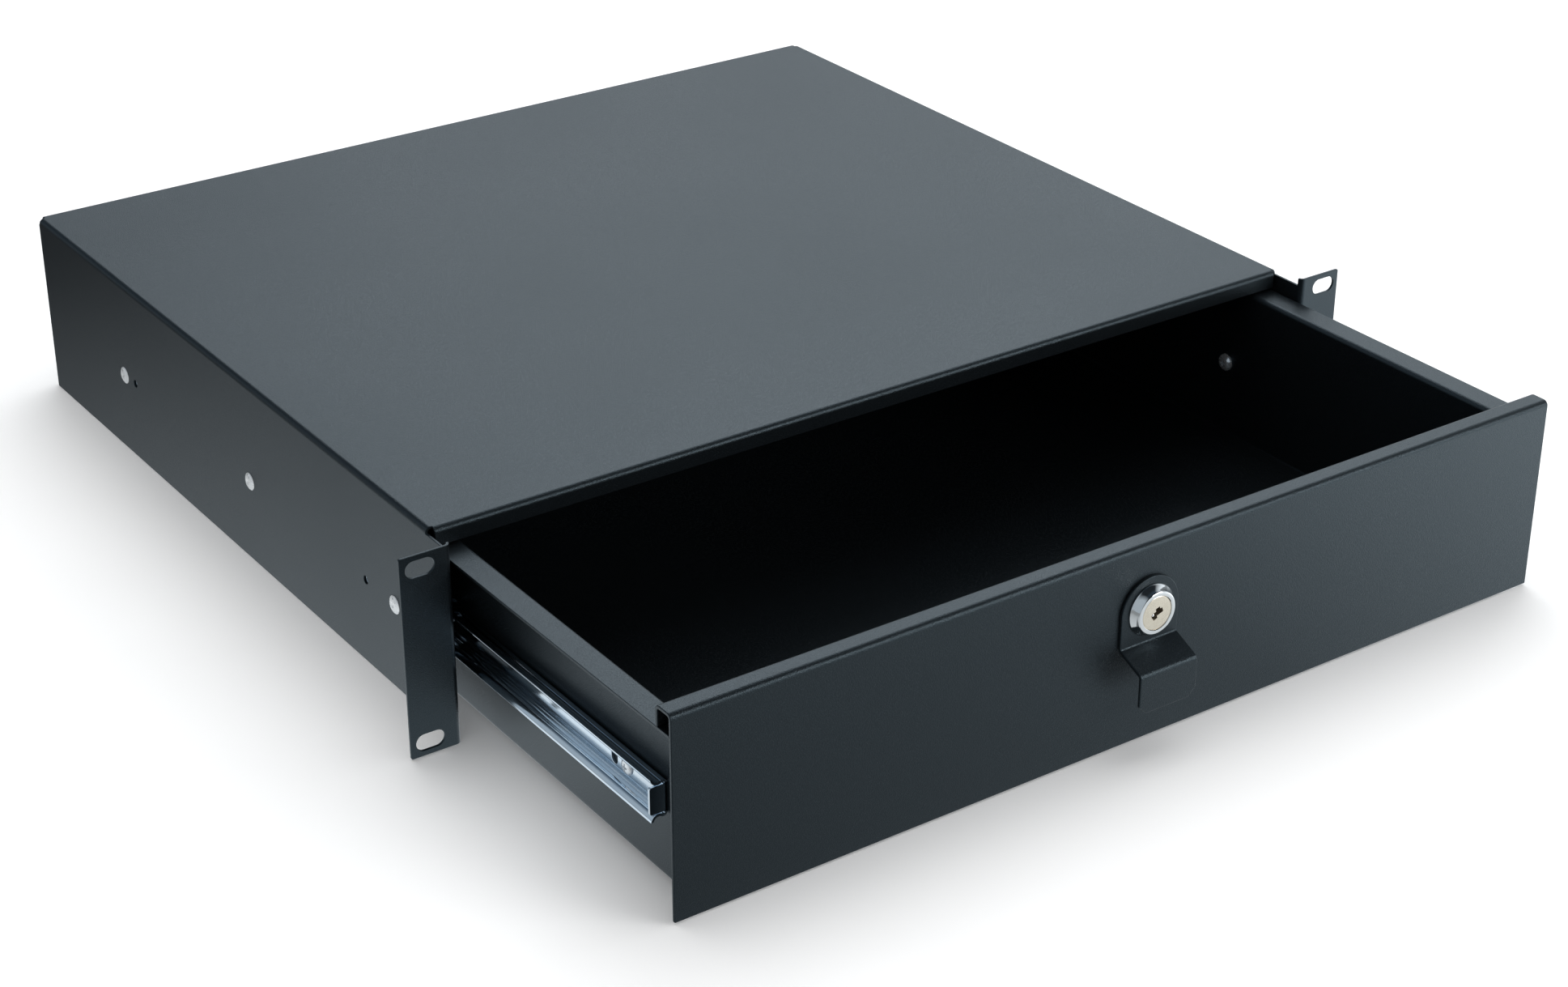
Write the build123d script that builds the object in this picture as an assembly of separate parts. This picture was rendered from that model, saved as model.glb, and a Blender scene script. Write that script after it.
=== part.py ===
from build123d import *
import math
import os

# Sliding drawer for a 19-inch equipment rack, two rack units high.
# Millimetres. X runs left to right, Y from front to back, Z up.
# The origin is the middle of the four rack slots, on the front face of the ears.
# Every drawer piece is drawn shut and then brought forward to where it rests.

# Rack ears
EAR_SPAN = 482.6
EAR_HEIGHT = 88.1
EAR_CORNER = 0.8
SLOT_SPACING_X = 465.1
SLOT_SPACING_Z = 76.2
SLOT_WIDTH = 7.2
SLOT_LENGTH = 12.6

# Casing, folded from one sheet
CASING_WIDTH = 440.0
CASING_DEPTH = 400.0
CASING_SHEET = 1.2
CASING_BEND = 2.5
TOP_DROP = 0.9
TOP_SETBACK = 16.0
TOP_FLANGE = 8.0
CHEEK_DROP = 2.5
FOLD_GAP = 0.5
REAR_TAB = 14.0

# Slides: a rail riveted to the casing and a rail screwed to the drawer
SLIDE_THICKNESS = 12.7
SLIDE_LENGTH = 350.0
SLIDE_SETBACK = 20.0
SLIDE_HEIGHT = 39.65
RAIL_SHEET = 1.2
RAIL_CORNER = 1.6
BALL_DIAMETER = 4.0
BALL_PLAY = 0.04
RACE_RADIUS = 2.15
RACE_OFFSET = 3.8
INNER_HALF_HEIGHT = 7.75
RACE_DEPTH = 0.5
INNER_LIP_RISE = 1.75
OUTER_FLAT_DROP = 0.93
END_TAB_WIDTH = 7.5
END_TAB_HEIGHT = 11.6
END_TAB_OVERLAP = 4.8
END_TAB_CORNER = 1.0
END_TAB_GAP = 0.3
CRIMP_INSET = 2.5
CRIMP_RADIUS = 0.9
CRIMP_SINK = 0.225

# Ball cages
CAGE_SHEET = 0.6
CAGE_LENGTH = 86.0
CAGE_RISE = 0.36
CAGE_WEB_OFFSET = 9.6
CAGE_ARM_END = 1.0
CAGE_WINDOW_LENGTH = 62.0
CAGE_WINDOW_HEIGHT = 9.0
BALLS_PER_ROW = 6
BALL_PITCH = 14.0
POCKET_PLAY = 0.2

# Rail fixings
RIVET_FIRST = 48.4
RIVET_SPACING = 130.0
RIVET_COUNT = 3
RIVET_SHANK = 4.0
RIVET_HEAD = 8.0
RIVET_HEAD_HEIGHT = 1.3
RIVET_TAIL = 6.4
RIVET_TAIL_HEIGHT = 1.0
PILOT_FIRST = 73.0
PILOT_SPACING = 224.0
PILOT_HOLE = 3.6
SCREW_FIRST = 44.6
SCREW_SPACING = 134.6
SCREW_COUNT = 3
SCREW_SHANK = 4.0
SCREW_HEAD = 8.4
SCREW_HEAD_HEIGHT = 2.6
FRONT_SCREW_HEAD = 6.8
FRONT_SCREW_HEAD_HEIGHT = 1.5
SCREW_RECESS = 3.6
SCREW_RECESS_WIDTH = 0.9
NUT_FLATS = 7.0
NUT_HEIGHT = 2.4
HOLE_PLAY = 0.1
RAIL_SLOT_LENGTH = 6.5
RAIL_SLOT_WIDTH = 4.2
RAIL_SLOT_STEP = 9.0

# Drawer tray: floor and sides folded from one sheet, two end walls
TRAY_SHEET = 1.2
TRAY_LENGTH = 374.5
TRAY_BEND = 2.2
TRAY_FLOOR_CLEARANCE = 3.55
TRAY_FLANGE = 10.6
TRAY_REAR_DROP = 3.0
TRAY_FRONT_DROP = 1.0
TRAY_TAB = 6.5

# Front panel with its top folded back and down
PANEL_SHEET = 1.5
PANEL_SIDE_GAP = 2.0
PANEL_HEIGHT = 86.5
PANEL_TOP_DROP = 1.0
PANEL_BEND = 2.5
PANEL_RETURN = 10.1
PANEL_LIP = 9.1
PANEL_CORNER = 0.6

# Pull plate behind the lock
PULL_SHEET = 1.5
PULL_WIDTH = 28.4
PULL_STRAIGHT = 13.75
PULL_REACH = 14.3
PULL_SLOPE_DROP = 5.6
PULL_LIP_DROP = 17.1
PULL_BEND = 2.6
PULL_CHAMFER = 3.5

# Cam lock
LOCK_HEIGHT = 15.0
LOCK_BASE = 22.0
LOCK_RING = 18.4
LOCK_RIM = 0.9
LOCK_HEAD_HEIGHT = 4.0
LOCK_BARREL = 19.0
LOCK_FLATS = 16.6
LOCK_BARREL_END = 16.0
LOCK_HOLE_PLAY = 0.15
LOCK_PLAY = 0.05
LOCK_EDGE = 0.35
PLUG_DIAMETER = 14.4
PLUG_TAIL = 11.0
PLUG_STEP = 7.0
PLUG_RECESS = 0.2
KEYWAY_LENGTH = 5.8
KEYWAY_WIDTH = 2.0
KEYWAY_STEP = 1.3
KEYWAY_DEPTH = 9.0
KEYWAY_TILT = 20.0
LOCK_WASHER = 25.0
LOCK_WASHER_SHEET = 0.8
LOCK_NUT_FLATS = 23.0
LOCK_NUT_HEIGHT = 3.6

# Cam on the tail of the plug
CAM_GAP = 0.4
CAM_SHEET = 1.6
CAM_WIDTH = 14.0
CAM_LENGTH = 25.0
CAM_SQUARE = 7.0
CAM_PLAY = 0.05
CAM_WASHER = 11.0
CAM_WASHER_SHEET = 0.8
CAM_SCREW = 4.0
CAM_SCREW_LENGTH = 9.0
CAM_SCREW_HEAD = 7.4
CAM_SCREW_HEAD_HEIGHT = 2.4

# How far the drawer stands open
DRAWER_OPEN = 149.0

# How far a cutter runs past what it cuts
OVERRUN = 1.0

# Worked out from the sizes above
CASING_BOTTOM = -EAR_HEIGHT / 2
CASING_TOP = EAR_HEIGHT / 2 - TOP_DROP
CASING_INNER = CASING_WIDTH / 2 - CASING_SHEET
DRAWER_HALF = CASING_INNER - SLIDE_THICKNESS
SLIDE_Z = CASING_BOTTOM + SLIDE_HEIGHT
PANEL_TOP = EAR_HEIGHT / 2 - PANEL_TOP_DROP
PANEL_BOTTOM = PANEL_TOP - PANEL_HEIGHT
PANEL_HALF = CASING_INNER - PANEL_SIDE_GAP
TRAY_TOP = PANEL_TOP - PANEL_LIP
TRAY_BOTTOM = CASING_BOTTOM + TRAY_FLOOR_CLEARANCE
TRAY_FRONT = PANEL_SHEET
TRAY_REAR = TRAY_FRONT + TRAY_LENGTH
WALL_INNER = DRAWER_HALF - TRAY_SHEET
BALL_RADIUS = BALL_DIAMETER / 2
RACE_FLOOR = INNER_HALF_HEIGHT - RACE_DEPTH
BALL_RISE = RACE_FLOOR + BALL_PLAY + BALL_RADIUS
RACE_CEILING = BALL_RISE + BALL_RADIUS + BALL_PLAY
OUTER_WEB = SLIDE_THICKNESS - RAIL_SHEET
LOCK_FACE = -PULL_SHEET - LOCK_HEAD_HEIGHT
TRAY_WALL_BACK = TRAY_FRONT + TRAY_SHEET
TRAY_FLOOR = TRAY_BOTTOM + TRAY_SHEET
TRAY_INNER_BEND = TRAY_BEND - TRAY_SHEET
CASING_REAR_INNER = CASING_DEPTH - CASING_SHEET
CAM_FACE = TOP_SETBACK + CASING_SHEET + CAM_GAP
SLIDE_MIDDLE = SLIDE_SETBACK + SLIDE_LENGTH / 2


def folded(points, radii, sheet, side):
    """A strip of sheet: the line it is folded along, thickened to one side."""
    line = FilletPolyline(*points, radius=radii)
    return make_face(offset(line, amount=sheet, side=side, closed=True))


def along_x(face, half):
    """A section drawn as (depth, height), run across the width."""
    return extrude(Plane.YZ * face, half, both=True)


def along_y(face, start, end):
    """A section drawn as (width, height), run from one depth to another."""
    section = Plane(origin=(0, start, 0), x_dir=(1, 0, 0), z_dir=(0, -1, 0)) * face
    return extrude(section, start - end)


def along_z(face, bottom, top):
    """A plan drawn as (width, depth), raised from one height to another."""
    return extrude(Pos(0, 0, bottom) * face, top - bottom)


def block(x0, x1, y0, y1, z0, z1):
    return Pos((x0 + x1) / 2, (y0 + y1) / 2, (z0 + z1) / 2) * Box(x1 - x0, y1 - y0, z1 - z0)


def rod_x(radius, x0, x1, y, z):
    """A round bar along X."""
    return Pos((x0 + x1) / 2, y, z) * Rot(0, 90, 0) * Cylinder(radius, abs(x1 - x0))


def rod_y(radius, y0, y1, x, z):
    """A round bar along Y."""
    return Pos(x, (y0 + y1) / 2, z) * Rot(90, 0, 0) * Cylinder(radius, abs(y1 - y0))


def both_sides(piece):
    """The left and right copies of a piece drawn on the right."""
    return mirror(piece, about=Plane.YZ), piece


def pattern(first, spacing, count):
    return [first + spacing * index for index in range(count)]


# Casing

def ear_profile():
    """Plan of the right cheek and ear: back along the side, then out to the ear's edge."""
    points = [
        (EAR_SPAN / 2, 0),
        (CASING_INNER, 0),
        (CASING_INNER, TOP_SETBACK + 2 * CASING_BEND),
    ]
    return folded(points, CASING_BEND, CASING_SHEET, Side.RIGHT)


def ear_slots():
    """The four open slots for the rack screws."""
    slot = Plane.XZ * SlotOverall(SLOT_LENGTH, SLOT_WIDTH)
    cutter = extrude(slot, 2 * CASING_SHEET, both=True)
    places = [
        (x * SLOT_SPACING_X / 2, 0, z * SLOT_SPACING_Z / 2) for x in (-1, 1) for z in (-1, 1)
    ]
    return [Pos(*place) * cutter for place in places]


def right_ear():
    """Cheek and ear, the ear a little taller than the casing's top."""
    ear = along_z(ear_profile(), CASING_BOTTOM, EAR_HEIGHT / 2)
    corners = ear.edges().filter_by(Axis.Y).group_by(Axis.X)[-1]
    ear = fillet(corners, EAR_CORNER)
    over = block(
        CASING_INNER - OVERRUN, CASING_WIDTH / 2 + OVERRUN,
        CASING_BEND, CASING_DEPTH,
        CASING_TOP - CHEEK_DROP, EAR_HEIGHT,
    )
    return ear - over


def casing_wrap():
    """Top and both sides, from behind the top's front fold to the folds at the back."""
    half = CASING_WIDTH / 2
    points = [
        (-half, CASING_BOTTOM),
        (-half, CASING_TOP),
        (half, CASING_TOP),
        (half, CASING_BOTTOM),
    ]
    face = folded(points, CASING_BEND, CASING_SHEET, Side.RIGHT)
    return along_y(face, TOP_SETBACK + CASING_BEND, CASING_REAR_INNER - CASING_BEND)


def top_and_rear():
    """The top's front edge turned down, and the back turned down to the full height."""
    points = [
        (TOP_SETBACK, CASING_TOP - TOP_FLANGE),
        (TOP_SETBACK, CASING_TOP),
        (CASING_DEPTH, CASING_TOP),
        (CASING_DEPTH, CASING_BOTTOM),
    ]
    face = folded(points, CASING_BEND, CASING_SHEET, Side.RIGHT)
    return along_x(face, CASING_WIDTH / 2 - CASING_BEND - FOLD_GAP)


def rear_tab():
    """The right side's rear edge, turned in behind the back for spot welds."""
    points = [
        (CASING_WIDTH / 2, CASING_REAR_INNER - 2 * CASING_BEND),
        (CASING_WIDTH / 2, CASING_REAR_INNER),
        (CASING_WIDTH / 2 - REAR_TAB, CASING_REAR_INNER),
    ]
    face = folded(points, CASING_BEND, CASING_SHEET, Side.LEFT)
    return along_z(face, CASING_BOTTOM, CASING_TOP - CASING_BEND - FOLD_GAP)


def side_holes(x0, x1):
    """Rivet holes and pilot holes through one side and the rail behind it."""
    rivets = [
        rod_x(RIVET_SHANK / 2 + HOLE_PLAY / 2, x0, x1, y, SLIDE_Z)
        for y in pattern(RIVET_FIRST, RIVET_SPACING, RIVET_COUNT)
    ]
    pilots = [
        rod_x(PILOT_HOLE / 2, x0, x1, y, SLIDE_Z) for y in pattern(PILOT_FIRST, PILOT_SPACING, 2)
    ]
    return rivets + pilots


def casing_shell():
    ears = both_sides(right_ear())
    tabs = both_sides(rear_tab())
    shell = casing_wrap() + top_and_rear() + ears[0] + ears[1] + tabs[0] + tabs[1]
    outside = CASING_WIDTH / 2 + OVERRUN
    inside = CASING_INNER - OVERRUN
    holes = side_holes(inside, outside) + side_holes(-outside, -inside)
    return shell - ear_slots() - holes


# Slides: sections drawn as (distance out from the drawer's wall, height from mid rail)

def race_cut(center, level):
    """How far along the section a race meets a flat at this level."""
    return math.sqrt(RACE_RADIUS**2 - (level - center) ** 2)


def race(center, left, bottom, top):
    """A strip of sheet rolled round a row of balls, cut off to a window."""
    ring = Circle(RACE_RADIUS + RAIL_SHEET) - Circle(RACE_RADIUS)
    window = Rectangle(SLIDE_THICKNESS, top - bottom, align=(Align.MIN, Align.MIN))
    return (Pos(RACE_OFFSET, center) * ring) & (Pos(left, bottom) * window)


def whole_section(half):
    """The top half of a rail's section joined to its mirror image."""
    return half + mirror(half, about=Plane.XZ)


def inner_rail_face():
    """Drawer rail: a channel open to the outside, with a race sunk in each outer flank."""
    center = RACE_FLOOR + RACE_RADIUS
    start = RACE_OFFSET - race_cut(center, INNER_HALF_HEIGHT)
    points = [(0, 0), (0, INNER_HALF_HEIGHT), (start, INNER_HALF_HEIGHT)]
    corner = folded(points, RAIL_CORNER, RAIL_SHEET, Side.RIGHT)
    return whole_section(corner + race(center, start, 0, RACE_FLOOR + INNER_LIP_RISE))


def outer_rail_face():
    """Casing rail: a deeper channel facing the drawer, each flank wrapped over its balls."""
    center = RACE_CEILING - RACE_RADIUS
    flat = RACE_CEILING - OUTER_FLAT_DROP
    start = RACE_OFFSET + race_cut(center, flat)
    points = [(OUTER_WEB, 0), (OUTER_WEB, flat), (start, flat)]
    corner = folded(points, RAIL_CORNER, RAIL_SHEET, Side.RIGHT)
    return whole_section(corner + race(center, 0, flat, 2 * RACE_CEILING))


def place_rail(face, start, length):
    """Stand a rail's section beside the drawer's right wall and run it back."""
    return along_y(Pos(DRAWER_HALF, SLIDE_Z) * face, start, start + length)


def race_crimps(y, level):
    """Two small dents across the races, which keep the cage between the rails."""
    return [
        rod_x(
            CRIMP_RADIUS,
            DRAWER_HALF + RACE_OFFSET - RACE_RADIUS / 2,
            DRAWER_HALF + RACE_OFFSET + RACE_RADIUS / 2,
            y,
            SLIDE_Z + side * level,
        )
        for side in (-1, 1)
    ]


def outer_rail():
    rail = place_rail(outer_rail_face(), SLIDE_SETBACK, SLIDE_LENGTH)
    crimps = race_crimps(SLIDE_SETBACK + CRIMP_INSET, RACE_CEILING + CRIMP_SINK)
    holes = side_holes(DRAWER_HALF + CAGE_WEB_OFFSET, CASING_INNER + OVERRUN)
    return rail + crimps - holes


def end_tab():
    """The drawer rail's front end, folded out from its web to close the channel."""
    points = [
        (DRAWER_HALF, SLIDE_SETBACK + END_TAB_OVERLAP),
        (DRAWER_HALF, SLIDE_SETBACK),
        (DRAWER_HALF + END_TAB_WIDTH, SLIDE_SETBACK),
    ]
    face = folded(points, RAIL_CORNER, RAIL_SHEET, Side.LEFT)
    half = END_TAB_HEIGHT / 2
    tab = along_z(face, SLIDE_Z - half, SLIDE_Z + half)
    corners = tab.edges().filter_by(Axis.Y).group_by(Axis.X)[-1]
    return fillet(corners, END_TAB_CORNER)


def end_tab_notch():
    """The gap cut in the drawer rail's web, in which the end tab is folded."""
    half = END_TAB_HEIGHT / 2 + END_TAB_GAP
    return block(
        DRAWER_HALF - OVERRUN, DRAWER_HALF + RAIL_SHEET + OVERRUN,
        SLIDE_SETBACK - OVERRUN, SLIDE_SETBACK + RAIL_CORNER,
        SLIDE_Z - half, SLIDE_Z + half,
    )


def rail_slots():
    """Upright slots beside each screw, for setting the drawer's height."""
    slot = Plane.YZ * Rot(0, 0, 90) * SlotOverall(RAIL_SLOT_LENGTH, RAIL_SLOT_WIDTH)
    cutter = extrude(slot, RAIL_SHEET, both=True)
    places = [y + RAIL_SLOT_STEP for y in screw_places()]
    return [Pos(DRAWER_HALF + RAIL_SHEET / 2, y, SLIDE_Z) * cutter for y in places]


def screw_places():
    return pattern(SCREW_FIRST, SCREW_SPACING, SCREW_COUNT)


def screw_holes(x0, x1):
    radius = SCREW_SHANK / 2 + HOLE_PLAY / 2
    return [rod_x(radius, x0, x1, y, SLIDE_Z) for y in screw_places()]


def inner_rail():
    rail = place_rail(inner_rail_face(), SLIDE_SETBACK, SLIDE_LENGTH)
    rail = (rail - end_tab_notch()) + end_tab()
    end = SLIDE_SETBACK + SLIDE_LENGTH - CRIMP_INSET
    rail = rail + race_crimps(end, RACE_FLOOR - CRIMP_SINK)
    holes = screw_holes(DRAWER_HALF - OVERRUN, DRAWER_HALF + RAIL_SHEET + OVERRUN)
    return rail - rail_slots() - holes


def ball_places():
    """Depths of the balls in a row, counted from the middle of the cage."""
    first = -BALL_PITCH * (BALLS_PER_ROW - 1) / 2
    return pattern(SLIDE_MIDDLE + first, BALL_PITCH, BALLS_PER_ROW)


def balls():
    x = DRAWER_HALF + RACE_OFFSET
    ball = Sphere(BALL_RADIUS)
    return [
        Pos(x, y, SLIDE_Z + side * BALL_RISE) * ball for side in (-1, 1) for y in ball_places()
    ]


def ball_cage():
    """A sheet channel between the rails, with a pocket for each ball in its two arms."""
    rise = BALL_RISE + CAGE_RISE
    web = CAGE_WEB_OFFSET
    points = [(CAGE_ARM_END, -rise), (web, -rise), (web, rise), (CAGE_ARM_END, rise)]
    face = folded(points, CAGE_SHEET, CAGE_SHEET, Side.LEFT)
    start = SLIDE_MIDDLE - CAGE_LENGTH / 2
    cage = place_rail(face, start, CAGE_LENGTH)
    pocket = Cylinder(BALL_RADIUS + POCKET_PLAY, 4 * CAGE_SHEET)
    x = DRAWER_HALF + RACE_OFFSET
    pockets = [Pos(x, y, SLIDE_Z + side * rise) * pocket for side in (-1, 1) for y in ball_places()]
    window = block(
        DRAWER_HALF + web - CAGE_SHEET - OVERRUN, DRAWER_HALF + web + CAGE_SHEET + OVERRUN,
        SLIDE_MIDDLE - CAGE_WINDOW_LENGTH / 2, SLIDE_MIDDLE + CAGE_WINDOW_LENGTH / 2,
        SLIDE_Z - CAGE_WINDOW_HEIGHT / 2, SLIDE_Z + CAGE_WINDOW_HEIGHT / 2,
    )
    return cage - pockets - window


# Fixings, drawn on the right

def dome(radius, height):
    """A shallow domed head standing on the XY plane."""
    sphere = (radius**2 + height**2) / (2 * height)
    cap = Pos(0, 0, height - sphere) * Sphere(sphere)
    return cap & Pos(0, 0, height / 2) * Cylinder(radius, height)


def outwards(piece, x, y, z, direction):
    """Turn a piece that stands on the XY plane to stand out along X."""
    return Pos(x, y, z) * Rot(0, 90 * direction, 0) * piece


def rivet(y):
    """A blind rivet: domed head outside, shank through sheet and rail, flattened tail."""
    tail = DRAWER_HALF + OUTER_WEB
    shank = rod_x(RIVET_SHANK / 2, tail, CASING_WIDTH / 2, y, SLIDE_Z)
    head = outwards(dome(RIVET_HEAD / 2, RIVET_HEAD_HEIGHT), CASING_WIDTH / 2, y, SLIDE_Z, 1)
    foot = rod_x(RIVET_TAIL / 2, tail - RIVET_TAIL_HEIGHT, tail, y, SLIDE_Z)
    return shank + head + foot


def rivets():
    return [rivet(y) for y in pattern(RIVET_FIRST, RIVET_SPACING, RIVET_COUNT)]


def pan_head(width, height):
    """A pan head with a cross recess to half its height, standing on the XY plane."""
    head = Pos(0, 0, height / 2) * Cylinder(width / 2, height)
    rim = head.edges().filter_by(GeomType.CIRCLE).sort_by(Axis.Z)[-1]
    head = fillet(rim, height / 2)
    bar = Pos(0, 0, height) * Box(SCREW_RECESS, SCREW_RECESS_WIDTH, height)
    return head - bar - Rot(0, 0, 90) * bar


def nut():
    """A hexagon nut standing on the XY plane, bored for the screw."""
    body = extrude(RegularPolygon(NUT_FLATS / 2, 6, major_radius=False), NUT_HEIGHT)
    bore = Pos(0, 0, NUT_HEIGHT / 2) * Cylinder(SCREW_SHANK / 2 + HOLE_PLAY / 2, NUT_HEIGHT)
    return body - bore


def rail_screw(index, y):
    """The first screw goes in from the slide's open end, the others from inside the tray."""
    outer = DRAWER_HALF + RAIL_SHEET
    if index == 0:
        flat = pan_head(FRONT_SCREW_HEAD, FRONT_SCREW_HEAD_HEIGHT)
        head = outwards(flat, outer, y, SLIDE_Z, 1)
        shank = rod_x(SCREW_SHANK / 2, WALL_INNER - NUT_HEIGHT, outer, y, SLIDE_Z)
    else:
        tall = pan_head(SCREW_HEAD, SCREW_HEAD_HEIGHT)
        head = outwards(tall, WALL_INNER, y, SLIDE_Z, -1)
        shank = rod_x(SCREW_SHANK / 2, WALL_INNER, outer + NUT_HEIGHT, y, SLIDE_Z)
    return head + shank


def rail_nut(index, y):
    if index == 0:
        return outwards(nut(), WALL_INNER, y, SLIDE_Z, -1)
    return outwards(nut(), DRAWER_HALF + RAIL_SHEET, y, SLIDE_Z, 1)


def rail_screws():
    return [rail_screw(index, y) for index, y in enumerate(screw_places())]


def rail_nuts():
    return [rail_nut(index, y) for index, y in enumerate(screw_places())]


# Drawer

def drawer_tray():
    """Floor, both walls and their tops turned outwards over the slides."""
    edge = DRAWER_HALF + TRAY_FLANGE
    points = [
        (-edge, TRAY_TOP),
        (-WALL_INNER, TRAY_TOP),
        (-WALL_INNER, TRAY_FLOOR),
        (WALL_INNER, TRAY_FLOOR),
        (WALL_INNER, TRAY_TOP),
        (edge, TRAY_TOP),
    ]
    radii = [TRAY_BEND, TRAY_INNER_BEND, TRAY_INNER_BEND, TRAY_BEND]
    tray = along_y(folded(points, radii, TRAY_SHEET, Side.RIGHT), TRAY_FRONT, TRAY_REAR)
    outside = DRAWER_HALF + OVERRUN
    inside = WALL_INNER - OVERRUN
    return tray - screw_holes(inside, outside) - screw_holes(-outside, -inside)


def end_wall(face, inward, top):
    """A wall across the tray, its ends folded inwards as tabs against the side walls."""
    tab_end = face + inward * TRAY_TAB
    points = [
        (-WALL_INNER, tab_end),
        (-WALL_INNER, face),
        (WALL_INNER, face),
        (WALL_INNER, tab_end),
    ]
    side = Side.LEFT if inward > 0 else Side.RIGHT
    wall = along_z(folded(points, TRAY_BEND, TRAY_SHEET, side), TRAY_FLOOR, top)
    relief = block(
        WALL_INNER - TRAY_INNER_BEND, DRAWER_HALF,
        face - TRAY_TAB - OVERRUN, face + TRAY_TAB + OVERRUN,
        TRAY_BOTTOM, TRAY_FLOOR + TRAY_INNER_BEND,
    )
    return wall - both_sides(relief)


def tray_front_wall():
    wall = end_wall(TRAY_FRONT, 1, TRAY_TOP - TRAY_FRONT_DROP)
    return wall - lock_hole(TRAY_FRONT - OVERRUN, TRAY_WALL_BACK + OVERRUN)


def tray_rear_wall():
    return end_wall(TRAY_REAR, -1, TRAY_TOP - TRAY_REAR_DROP)


def front_panel():
    points = [
        (0, PANEL_BOTTOM),
        (0, PANEL_TOP),
        (PANEL_RETURN, PANEL_TOP),
        (PANEL_RETURN, PANEL_TOP - PANEL_LIP),
    ]
    panel = along_x(folded(points, PANEL_BEND, PANEL_SHEET, Side.RIGHT), PANEL_HALF)
    corners = panel.edges().filter_by(Axis.Y).group_by(Axis.Z)[0]
    return fillet(corners, PANEL_CORNER) - lock_hole(-OVERRUN, PANEL_SHEET + OVERRUN)


def pull_profile():
    """Side view of the pull: flat on the panel, sloped out, then straight down."""
    bend = LOCK_HEIGHT - PULL_STRAIGHT
    knee = bend - PULL_SLOPE_DROP
    points = [
        (-PULL_SHEET, LOCK_HEIGHT + PULL_WIDTH / 2),
        (-PULL_SHEET, bend),
        (-PULL_REACH, knee),
        (-PULL_REACH, knee - PULL_LIP_DROP),
    ]
    radii = [PULL_BEND - PULL_SHEET, PULL_BEND]
    return folded(points, radii, PULL_SHEET, Side.LEFT)


def pull_outline():
    """Front view of the pull: round over the lock, corners cut at the bottom."""
    half = PULL_WIDTH / 2
    low = LOCK_HEIGHT - PULL_STRAIGHT - PULL_SLOPE_DROP - PULL_LIP_DROP
    plate = Pos(0, (LOCK_HEIGHT + low) / 2) * Rectangle(PULL_WIDTH, LOCK_HEIGHT - low)
    plate = chamfer(plate.vertices().group_by(Axis.Y)[0], PULL_CHAMFER)
    return plate + Pos(0, LOCK_HEIGHT) * Circle(half)


def pull_plate():
    strip = along_x(pull_profile(), PULL_WIDTH)
    outline = along_y(pull_outline(), -PULL_REACH - OVERRUN, OVERRUN)
    return (strip & outline) - lock_hole(-PULL_SHEET - OVERRUN, OVERRUN)


# Lock, drawn about the axis of its plug

def barrel_section(radius, flats):
    """A round barrel with two flats, left and right."""
    return Circle(radius) & Rectangle(flats, 2 * radius)


def at_lock(piece):
    """Take a piece drawn along Y about the origin to the lock's height."""
    return Pos(0, 0, LOCK_HEIGHT) * piece


def lock_hole(start, end):
    face = barrel_section(LOCK_BARREL / 2 + LOCK_HOLE_PLAY, LOCK_FLATS + 2 * LOCK_HOLE_PLAY)
    return at_lock(along_y(face, start, end))


def turned(points):
    """A turned part from half its section, drawn as (radius, depth)."""
    return revolve(make_face(Polyline(*points, close=True)), Axis.Y)


def lock_barrel():
    """Head and barrel in one, bored in two steps for the plug."""
    base = LOCK_BASE / 2
    ring = LOCK_RING / 2
    bore = PLUG_DIAMETER / 2 + LOCK_PLAY
    tail = PLUG_TAIL / 2 + LOCK_PLAY
    seat = -PULL_SHEET
    head = turned([
        (bore, LOCK_FACE),
        (ring - LOCK_EDGE, LOCK_FACE),
        (ring, LOCK_FACE + LOCK_EDGE),
        (base - LOCK_EDGE, seat - LOCK_RIM),
        (base, seat - LOCK_RIM + LOCK_EDGE),
        (base, seat),
        (bore, seat),
    ])
    barrel = along_y(barrel_section(LOCK_BARREL / 2, LOCK_FLATS), seat, LOCK_BARREL_END)
    bores = turned([
        (0, LOCK_FACE - OVERRUN),
        (bore, LOCK_FACE - OVERRUN),
        (bore, PLUG_STEP),
        (tail, PLUG_STEP),
        (tail, LOCK_BARREL_END + OVERRUN),
        (0, LOCK_BARREL_END + OVERRUN),
    ])
    return at_lock(head + barrel - bores)


def keyway():
    """A stepped key slot in the face of the plug."""
    front = LOCK_FACE - OVERRUN
    back = LOCK_FACE + KEYWAY_DEPTH
    half = KEYWAY_LENGTH / 2
    step = KEYWAY_STEP / 2
    slot = block(-half, half, front, back, -KEYWAY_WIDTH / 2, KEYWAY_WIDTH / 2)
    ward = block(-half + step, -step, front, back, -KEYWAY_WIDTH / 2 - step, 0)
    notch = block(step, half - step, front, back, 0, KEYWAY_WIDTH / 2 + step)
    return Rot(0, -KEYWAY_TILT, 0) * (slot + ward + notch)


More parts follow.
